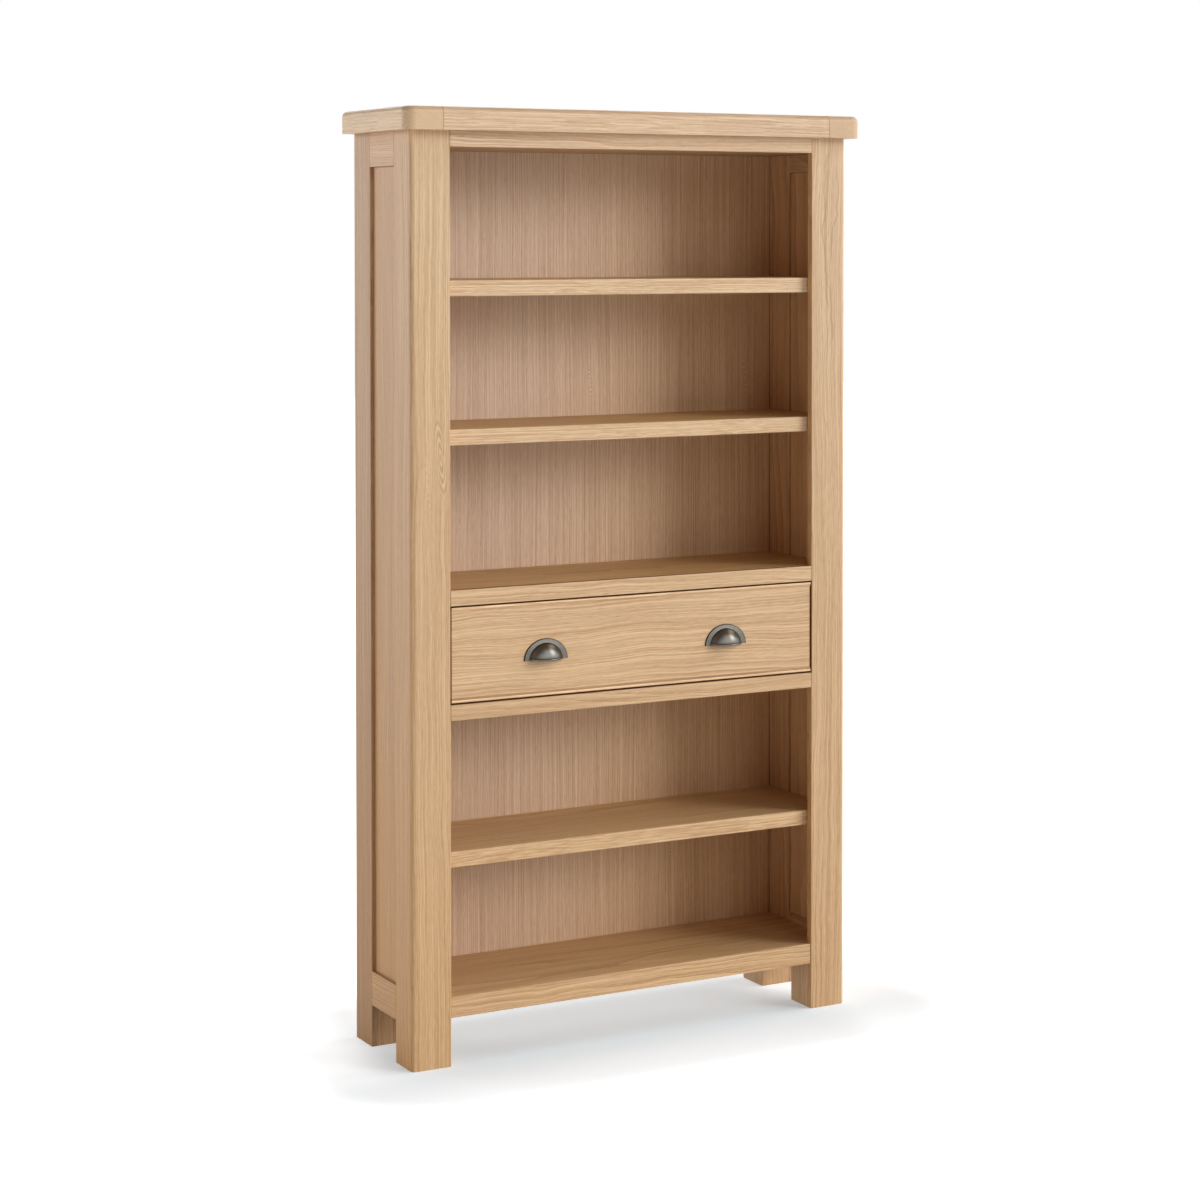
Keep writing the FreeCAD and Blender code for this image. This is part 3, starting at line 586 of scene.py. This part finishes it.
for number, (piece, look) in enumerate(logs.items()):
    names = [piece] if piece in nodes else [piece + "_left", piece + "_right"]
    for turn, name in enumerate(names):
        slots = nodes[name].data.materials
        slots.clear()
        seed = number * seeds["perPiece"] + seeds["first"] + turn * seeds["perSide"]
        slots.append(oakFinish(name, seed, **look))
print("oak: %d kinds of piece" % len(logs))


# Metal

pewterLook = {
    "cup": colour(0.050, 0.038, 0.027),
    "crownWearAndSheen": colour(0.205, 0.202, 0.182),           # paler where hands rub the cup, and a painted highlight
    "plateDark": colour(0.095, 0.090, 0.078),
    "platePale": colour(0.178, 0.170, 0.150),
    # painted shadow along the flange's outer edge
    "rim": colour(0.022, 0.018, 0.013),
    "groove": colour(0.012, 0.009, 0.006),
    "bead": colour(0.130, 0.122, 0.104),
    "mottleNoise": (420.0, 3.0, 0.6),               # waves a metre, detail, roughness
    "mottle": (0.30, 0.70),
    "crownOut": (0.012, 0.024),                     # metres out of the drawer's front
    "crownTop": (0.028, 0.013),                     # metres above the lip
    "crownFoot": (0.003, 0.011, 0.35, 1.0),
    "plateRise": (0.012, 0.038, 0.82, 1.18),        # painted light: the plate is paler upwards
    "wornOut": (0.0012, 0.0021),
    "wornOval": (0.955, 0.905),                     # squared share of the half-moon's size
    "plateEnd": (0.00225, 0.0025),
    "cupStart": (0.0028, 0.0040),
    "grooveRise": 0.0038,
    "grooveWidth": (0.0004, 0.0013),
    "beadRise": (0.0034, 0.0030),
    "leanOut": (0.0040, 0.0080),
    "lean": -0.34,                                  # how far the cup's polish turns its shine down
    "roughness": 0.34,
    "mottleRoughness": 0.20,
    "plateRoughness": (0.0032, 0.0022, 0.0, 0.12),
}


def pewterFinish(low, high):  # the box of one pull, at rest; the flange is paler than the cup, with painted shadow along its rim
    look = pewterLook
    f = Finish("pewter")
    place = f.place()
    x, y, z = f.split(place)
    waves, detail, roughness = look["mottleNoise"]
    mottle = f.noise(f.scaled(place, waves), detail, roughness)
    out = high[1] - y
    rise = z - low[2]
    # the worn crown, which also holds a painted highlight
    crownWearAndSheen = f.band(rise, *look["crownTop"]) * f.band(rise, *look["crownFoot"])
    cup = f.mix(f.band(out, *look["crownOut"]) * crownWearAndSheen, look["cup"], look["crownWearAndSheen"])
    plate = f.mix(f.band(mottle, *look["mottle"]), look["plateDark"], look["platePale"])
    plate = f.scaled(plate, f.band(rise, *look["plateRise"]))
    across = (f.absolute(x) - abs(low[0] + high[0]) / 2) / ((high[0] - low[0]) / 2)
    up = rise / (high[2] - low[2])
    # the flange's face inside the painted shadow along its rim
    offRimShadow = f.band(out, *look["wornOut"]) * f.band(across * across + up * up, *look["wornOval"])
    shade = f.mix(f.band(out, *look["plateEnd"]), f.mix(offRimShadow, look["rim"], plate), cup)
    onCup = f.band(out, *look["cupStart"])
    offGroove = f.band(f.absolute(rise - look["grooveRise"]), *look["grooveWidth"])
    shade = f.mix(onCup * (1.0 - offGroove), shade, look["groove"])
    shade = f.mix(f.band(rise, *look["beadRise"]) * onCup, shade, look["bead"])
    down = f.join(0.0, 0.0, f.band(out, *look["leanOut"]) * look["lean"])
    rough = look["roughness"] + (mottle - 0.5) * look["mottleRoughness"]
    return f.surface(**{
        "Base Color": shade,
        "Metallic": 1.0,
        "Roughness": rough + f.band(out, *look["plateRoughness"]),
        "Normal": f.vectors("NORMALIZE", {0: f.vectors("ADD", {0: f.normal(), 1: down})}),
    })


steelLook = {
    "dark": colour(0.42, 0.41, 0.39),
    "pale": colour(0.62, 0.61, 0.59),
    "waves": 900.0,                                 # a metre
    "roughness": 0.32,
    "grainRoughness": 0.15,
}


def steelFinish():  # fine speckles from dark to pale
    f = Finish("steel")
    grain = f.noise(f.scaled(f.place(), steelLook["waves"]), 2.0)
    return f.surface(**{
        "Base Color": f.mix(grain, steelLook["dark"], steelLook["pale"]),
        "Metallic": 1.0,
        "Roughness": steelLook["roughness"] + grain * steelLook["grainRoughness"],
    })


weld = 1e-6                                         # metres
sharpAngle = math.radians(38)


def build(name, grids, node, body, finish):  # grids of points in metres, welded where they meet
    corners, quads, count = [], [], 0
    for grid in grids:
        rows, columns = grid.shape[:2]
        index = count + np.arange(rows * columns).reshape(rows, columns)
        around = [index[:-1, :-1], index[1:, :-1], index[1:, 1:], index[:-1, 1:]]
        quads.append(np.stack(around, -1).reshape(-1, 4))
        corners.append(grid.reshape(-1, 3))
        count += rows * columns
    mesh = bpy.data.meshes.new(name)
    mesh.from_pydata(np.concatenate(corners), [], np.concatenate(quads))
    work = bmesh.new()
    work.from_mesh(mesh)
    bmesh.ops.remove_doubles(work, verts=work.verts, dist=weld)
    bmesh.ops.recalc_face_normals(work, faces=work.faces)
    work.to_mesh(mesh)
    work.free()
    mesh.polygons.foreach_set("use_smooth", np.ones(len(mesh.polygons), bool))
    mesh.set_sharp_from_angle(angle=sharpAngle)
    mesh.materials.append(finish)
    made = bpy.data.objects.new(name, mesh)
    bpy.context.scene.collection.objects.link(made)
    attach(made, body)
    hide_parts(node)
    print("%s: %d faces" % (name, len(mesh.polygons)))


pull = {  # millimetres
    "halfWidth": 46.5,      # of the half-moon flange
    "height": 40.5,
    "thickness": 2.2,
    "rimRadius": 1.2,
    "ballRadius": 39.53,    # the cup is a part of a ball
    "ballBehind": 13.33,    # the ball's centre behind the flange's back
    "ballBelow": 4.0,       # and below the lip
    "wall": 2.0,
    "footRadius": 1.6,      # where the cup meets the flange
    "lipRadius": 1.7,
    "lipSink": 0.4,         # the lip ends this far in front of the flange's back
    "lipTaper": 0.02,       # share of the lip that closes to a point
    "bossAt": (24.0, 13.0),
    "bossRadius": 4.0,
    "bossRings": (0, 0.5, 0.92, 1, 1, 1, 0.6, 0),       # shares of its radius
    "bossHeights": (0, 0, 0, 0.05, 0.5, 1, 1, 1),       # shares of the way to the cup
}
pullPoints = {"round": 73, "rim": 6, "face": 5, "foot": 7, "cup": 25, "lip": 61, "lipRound": 17, "boss": 33}


def halfRing(radius, theta):  # points above the lip on a circle about the ball's centre, in polar form
    below = pull["ballBelow"]
    away = np.sqrt(radius ** 2 - (below * np.cos(theta)) ** 2) - below * np.sin(theta)
    return away * np.cos(theta), away * np.sin(theta)


def ballOut(radius, across, up):  # how far the ball stands out of the drawer above a point
    p = pull
    return np.sqrt(np.clip(radius ** 2 - across ** 2 - (up + p["ballBelow"]) ** 2, 0, None)) - p["ballBehind"]


def inwardShares(count):  # from the edge of the cup to the middle of its lip, closer near the edge
    return np.cos(np.linspace(0, np.pi / 2, count))[1:, None]


def pullFront(theta):  # the flange's rim and face, a hollow foot, then the cup in to the middle of the lip
    p = pull
    foot = p["thickness"] + p["footRadius"]
    reach = p["ballRadius"] + p["footRadius"]
    footRing = math.sqrt(reach ** 2 - (foot + p["ballBehind"]) ** 2)
    lean = math.atan2(footRing, foot + p["ballBehind"])
    quarter = np.linspace(0, np.pi / 2, pullPoints["rim"])
    inset = np.concatenate([[0], p["rimRadius"] * (1 - np.cos(quarter))])
    out = np.concatenate([[0], p["thickness"] - p["rimRadius"] * (1 - np.sin(quarter))])
    across = (p["halfWidth"] - inset)[:, None] * np.cos(theta)
    up = (p["height"] - inset)[:, None] * np.sin(theta)
    share = np.linspace(0, 1, pullPoints["face"])[1:, None]
    footAcross, footUp = halfRing(footRing, theta)
    faceAcross = across[-1] * (1 - share) + footAcross * share
    faceUp = up[-1] * (1 - share) + footUp * share
    hollow = np.linspace(0, lean, pullPoints["foot"])[1:]
    hollows = [halfRing(footRing - p["footRadius"] * math.sin(angle), theta) for angle in hollow]
    hollowOut = foot - p["footRadius"] * np.cos(hollow)
    cupAcross, cupUp = (edge * inwardShares(pullPoints["cup"]) for edge in hollows[-1])
    across = np.concatenate([across, faceAcross, np.array([ring[0] for ring in hollows]), cupAcross])
    up = np.concatenate([up, faceUp, np.array([ring[1] for ring in hollows]), cupUp])
    flatOut = np.concatenate([out, np.full(len(share), p["thickness"]), hollowOut])[:, None]
    flatOut = np.broadcast_to(flatOut, (len(flatOut), len(theta)))
    cupOut = ballOut(p["ballRadius"], cupAcross, cupUp)
    return np.stack([across, np.concatenate([flatOut, cupOut]), up], -1)


def pullBack(theta, rows):  # the flange's flat back in to the cup's hollow, then the hollow's ball
    p = pull
    inner = p["ballRadius"] - p["wall"]
    edgeAcross, edgeUp = halfRing(math.sqrt(inner ** 2 - p["ballBehind"] ** 2), theta)
    flat = pullPoints["rim"] + pullPoints["face"]
    share = np.linspace(0, 1, flat)[:, None]
    inwards = inwardShares(rows - flat + 1)
    flatAcross = p["halfWidth"] * np.cos(theta) * (1 - share) + edgeAcross * share
    flatUp = p["height"] * np.sin(theta) * (1 - share) + edgeUp * share
    ballAcross, ballUp = edgeAcross * inwards, edgeUp * inwards
    across = np.concatenate([flatAcross, ballAcross])
    up = np.concatenate([flatUp, ballUp])
    out = np.concatenate([np.zeros((flat, len(theta))), ballOut(inner, ballAcross, ballUp)])
    return np.stack([across, out, up], -1)


def pullLip():  # a tube round the cup's lower edge, closing to a point inside the flange
    p = pull
    ring = math.sqrt((p["ballRadius"] - p["wall"] / 2) ** 2 - (p["ballBelow"] + p["lipRadius"]) ** 2)
    last = math.acos((p["ballBehind"] + p["lipSink"]) / ring)
    sweep = np.linspace(-last, last, pullPoints["lip"])
    turn = np.linspace(0, 2 * np.pi, pullPoints["lipRound"])[:, None]
    closing = np.clip((np.abs(sweep) / last - 1 + p["lipTaper"]) / p["lipTaper"], 0, 1)
    size = p["lipRadius"] * np.sqrt(1 - closing ** 2)
    ring = ring + size * np.cos(turn)
    up = p["lipRadius"] + size * np.sin(turn)
    return np.stack([ring * np.sin(sweep), ring * np.cos(sweep) - p["ballBehind"], up], -1)


def pullBoss(side):  # a post from the drawer's face to the middle of the cup's wall
    p = pull
    turn = np.linspace(0, 2 * np.pi, pullPoints["boss"])
    radius = p["bossRadius"] * np.array(p["bossRings"])[:, None]
    across = side * p["bossAt"][0] + radius * np.cos(turn)
    up = p["bossAt"][1] + radius * np.sin(turn)
    out = ballOut(p["ballRadius"] - p["wall"] / 2, across, up) * np.array(p["bossHeights"])[:, None]
    return np.stack([across, out, up], -1)


def pullGrids():  # across, out of the drawer and up, about the middle of the straight edge's back
    theta = np.linspace(0, np.pi, pullPoints["round"])
    front = pullFront(theta)
    back = pullBack(theta, len(front))
    ends = [np.stack([front[:, end], back[:, end]]) for end in (0, -1)]
    return [front, back] + ends + [pullLip()] + [pullBoss(side) for side in (-1, 1)]


slotShape = {
    "floor": 1.3,                           # more than 1 makes the slot's floor flat
    "wallPower": 3,
    "endSlope": 0.3,                        # millimetres
    "shallower": 0.5,                       # share of its depth that a slot loses at its end
}
headRadii = (0, 0.3, 0.6, 0.95, 1.3, 1.65, 1.9, 2.2, 2.7)  # rings over a head's recess, millimetres
wood = {  # millimetres from the head's flat
    "recess": (0.45, 2.0, 1.3),             # a slot's half width, its reach and its depth
    "headRim": 3.25,
    "neck": ((3.4, 0.1), (3.4, 0.25), (1.6, 1.8), (1.6, 3.0)),  # radius and distance
    "shankStart": 3.4,
    "shankStep": 0.55,
    "tip": 3.0,
    "tipRings": 7,
    "pitch": 2.4,
    "radius": 1.6,
    "root": 0.70,                           # share of the radius
    "round": 25,                            # points
}
pan = {  # millimetres from the underside of the head
    "recess": (0.5, 2.1, 1.4),
    "headRim": 3.2,
    "headHeight": 2.4,
    "dome": 0.06,                           # by the radius squared
    "edge": ((3.6, -1.5), (3.85, -1.1), (4.0, -0.7), (4.0, -0.1), (3.9, 0.0), (2.0, 0.0)),
    "shankStart": 0.4,
    "shankEnd": 0.5,
    "shankStep": 0.18,
    "endRadius": 1.4,
    "pitch": 0.7,
    "radius": 2.0,
    "root": 0.82,
    "round": 33,
}


def rings(values, angle):  # one row of equal values for each ring
    return np.array(values, dtype=float)[:, None] * np.ones_like(angle)


def crossRecess(radius, angle, width, length, depth):  # two crossed slots that get shallower outwards
    s = slotShape
    x, y = np.abs(radius * np.cos(angle)), np.abs(radius * np.sin(angle))
    inSlot = np.clip(s["floor"] - (np.minimum(x, y) / width) ** s["wallPower"], 0, 1)
    inSlot = inSlot * np.clip((length - radius) / s["endSlope"], 0, 1)
    return depth * inSlot * (1 - s["shallower"] * radius / length)


def thread(screw, along, angle):  # a helix that rises one pitch a turn
    ridge = (0.5 + 0.5 * np.cos(2 * np.pi * along / screw["pitch"] - angle)) ** 1.5
    return screw["radius"] * (screw["root"] + (1 - screw["root"]) * ridge)


def woodScrew(length):  # radius and distance from the head's flat
    angle = np.linspace(0, 2 * np.pi, wood["round"])[None]
    top = rings(headRadii + (wood["headRim"],), angle)
    topAlong = crossRecess(top, angle, *wood["recess"])
    neck, neckAlong = (rings(row, angle) for row in zip(*wood["neck"]))
    shankAlong = rings(np.arange(wood["shankStart"], length - wood["tip"], wood["shankStep"]), angle)
    shank = thread(wood, shankAlong, angle)
    tipAlong = rings(np.linspace(length - wood["tip"], length, wood["tipRings"]), angle)
    tip = thread(wood, tipAlong, angle) * (length - tipAlong) / wood["tip"]
    alongs = [topAlong, neckAlong, shankAlong, tipAlong]
    return np.concatenate([top, neck, shank, tip]), np.concatenate(alongs)


def panScrew(length):  # radius and distance from the underside of the head
    angle = np.linspace(0, 2 * np.pi, pan["round"])[None]
    top = rings(headRadii + (pan["headRim"],), angle)
    topAlong = crossRecess(top, angle, *pan["recess"]) - pan["headHeight"] + pan["dome"] * top ** 2
    edge, edgeAlong = (rings(row, angle) for row in zip(*pan["edge"]))
    shankAlong = rings(np.arange(pan["shankStart"], length - pan["shankEnd"], pan["shankStep"]), angle)
    shank = thread(pan, shankAlong, angle)
    end, endAlong = rings((pan["endRadius"], 0), angle), rings((length, length), angle)
    alongs = [topAlong, edgeAlong, shankAlong, endAlong]
    return np.concatenate([top, edge, shank, end]), np.concatenate(alongs)


def turned(shape, starts, way):  # a copy of a turned shape at each start, pointing along way
    radius, along = shape
    angle = np.linspace(0, 2 * np.pi, radius.shape[1])
    way = np.array(way)
    first = np.array([1.0, 0, 0])
    second = np.cross(way, first)
    spokes = np.cos(angle)[:, None] * first + np.sin(angle)[:, None] * second
    grid = radius[..., None] * spokes + along[..., None] * way
    return [(grid + np.array(start)) / 1000 for start in starts]


screws = {  # millimetres
    "back_panel_screws": dict(body="carcass", shape=woodScrew(26.0), way=(0, -1, 0), starts=[
        (side * 468.0, 150.0, z) for z in np.linspace(136.0, 1711.0, 7) for side in (-1, 1)] + [
        (x, 150.0, z) for z in (122.0, 672.0, 887.0, 1741.0) for x in (-199.0, 0.0, 199.0)]),
    "top_screws": dict(body="carcass", shape=woodScrew(52.0), way=(0, 0, 1), starts=[
        (x, y, 1726.0) for y in (-64.0, 99.0) for x in np.linspace(-377.0, 377.0, 4)]),
    "drawer_bottom_screws": dict(body="drawer", shape=woodScrew(20.0), way=(0, 0, 1), starts=[
        (x, 121.0, 691.3) for x in (-255.0, 0.0, 255.0)]),
    "cup_pull_screws": dict(body="drawer", shape=panScrew(23.5), way=(0, -1, 0), starts=[
        (pullSide * 198.5 + boss * 24.0, -104.0, 765.0) for pullSide in (-1, 1) for boss in (-1, 1)]),
}

steel = steelFinish()
for name, row in screws.items():
    grids = turned(row["shape"], row["starts"], row["way"])
    build(name + "_cut", grids, name, row["body"], steel)

pewter = pewterFinish(*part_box("cup_pull_left"))
for side in ("left", "right"):
    low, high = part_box("cup_pull_" + side)
    corner = np.array([(low[0] + high[0]) / 2, high[1], low[2]])
    grids = [grid * np.array([1, -1, 1]) / 1000 + corner for grid in pullGrids()]
    build("cup_pull_%s_cast" % side, grids, "cup_pull_" + side, "drawer", pewter)


# Camera, lamps and floor

camera = {
    "place": (-2.549206, -4.811523, 1.556709),
    "turn": 0.513366,        # to the right of straight ahead, in radians
    "dip": 0.023767,         # below level
    "lens": 82.687,
    "sensor": 36,            # millimetres
    "shift": (-0.066422, -0.247580),
}
view = bpy.data.objects.new("camera", bpy.data.cameras.new("camera"))
bpy.context.scene.collection.objects.link(view)
view.location = camera["place"]
view.rotation_euler = (math.pi / 2 - camera["dip"], 0, -camera["turn"])
view.data.sensor_width = camera["sensor"]
view.data.lens = camera["lens"]
view.data.shift_x, view.data.shift_y = camera["shift"]
bpy.context.scene.camera = view
print("camera: %.1f mm lens" % camera["lens"])

suns = {  # azimuth from the front towards +X and height, in degrees; share of white; softness in degrees
    "rightHigh": (85, 36, 0.43, 30),
    "frontRightLow": (45, 10, 0.29, 30),
    "frontRight": (40, 23, 0.25, 30),
    "spot": (52, 40, 0.14, 22),
    "front": (0, 23, 0.10, 30),
    "left": (-90, 10, 0.16, 30),
    "backLeft": (-140, 10, 0.33, 30),
    "backRight": (165, 20, 0.20, 30),
}
for name, (azimuth, height, share, softness) in suns.items():
    lamp = bpy.data.objects.new(name, bpy.data.lights.new(name, "SUN"))
    bpy.context.scene.collection.objects.link(lamp)
    a, e = math.radians(azimuth), math.radians(height)
    towards = Vector((math.sin(a) * math.cos(e), -math.cos(a) * math.cos(e), math.sin(e)))
    lamp.rotation_euler = towards.to_track_quat("Z", "Y").to_euler()
    lamp.data.energy = share * math.pi
    lamp.data.angle = math.radians(softness)
print("light: %d suns" % len(suns))

backdrop = {
    "reach": 20.0,                            # metres from the middle to each edge of the floor
    "ambient": 0.07,
    "floorColour": 0.80,
    "nearGlow": colour(0.155, 0.209, 0.243),  # seen only by rays that see the background
    "outerGlow": colour(0.185, 0.214, 0.236),
    "farGlow": colour(1, 1, 1),
    "front": (0.345, -0.119, -0.451),         # share of the far glow that is reached, and from where to where
    "back": (0.433, -0.200, 0.266),
    "left": (0.384, -0.426, -0.589),
    "leftAlong": (1.0, -0.258, 0.009),
    "right": (0.095, 0.350, 0.483),
    "away": (1.0, 0.150, 0.390),              # from the foot of the case
    "outer": (1.0, 0.0, 0.120),
    "footprint": (0.45, 0.15),
}


def whiteRays(f):  # 1 for rays that see the background: straight, mirrored or through glass
    seen = [f.node("ShaderNodeLightPath", output=kind) for kind in
            ("Is Camera Ray", "Is Glossy Ray", "Is Transmission Ray")]
    return f.maths("MINIMUM", seen[0] + seen[1] + seen[2], 1.0)


def backdropRise(f, key, spot):  # one of the backdrop's rows of amount, begin and end
    amount, begin, end = backdrop[key]
    return f.band(spot, begin, end, 0.0, amount)


def floorFinish():  # matt, with a glow that turns white away from the case; held low near the case, the glow adds a painted shadow to the one the lamps cast
    f = Finish("floor")
    matt = f.node("ShaderNodeBsdfDiffuse", {}, {"Color": colour(*[backdrop["floorColour"]] * 3)})
    x, y, z = f.split(f.place())
    outX, outY = (f.maths("MAXIMUM", f.absolute(spot) - half, 0.0)
                  for spot, half in zip((x, y), backdrop["footprint"]))
    away = f.distance(outX, outY)
    left = backdropRise(f, "left", x) * backdropRise(f, "leftAlong", y)
    share = backdropRise(f, "front", y) + backdropRise(f, "back", y) + left + backdropRise(f, "right", x)
    share = f.maths("MINIMUM", share + backdropRise(f, "away", away), 1.0)
    shaded = f.mix(backdropRise(f, "outer", away), backdrop["nearGlow"], backdrop["outerGlow"])
    glow = f.mix(share, shaded, backdrop["farGlow"])
    shine = f.node("ShaderNodeEmission", {}, {"Color": glow, "Strength": whiteRays(f)})
    f.end(f.node("ShaderNodeAddShader", {}, {0: matt, 1: shine}))
    return f.material


class WorldFinish(Finish):  # the same for the world's nodes
    def __init__(self, name):
        world = bpy.data.worlds.new(name)
        world.use_nodes = True
        self.tree = world.node_tree
        self.tree.nodes.clear()
        bpy.context.scene.world = world


sky = WorldFinish("studio")
sky.end(sky.node("ShaderNodeBackground", {}, {
    "Color": colour(1, 1, 1),
    "Strength": whiteRays(sky) * (1 - backdrop["ambient"]) + backdrop["ambient"],
}), "ShaderNodeOutputWorld")

reach = backdrop["reach"]
floorMesh = bpy.data.meshes.new("floor")
floorMesh.from_pydata([(-reach, -reach, 0), (reach, -reach, 0), (reach, reach, 0), (-reach, reach, 0)],
                      [], [(0, 1, 2, 3)])
floorMesh.materials.append(floorFinish())
floor = bpy.data.objects.new("floor", floorMesh)
bpy.context.scene.collection.objects.link(floor)
print("floor and sky placed")

bpy.context.scene.view_settings.view_transform = "Standard"
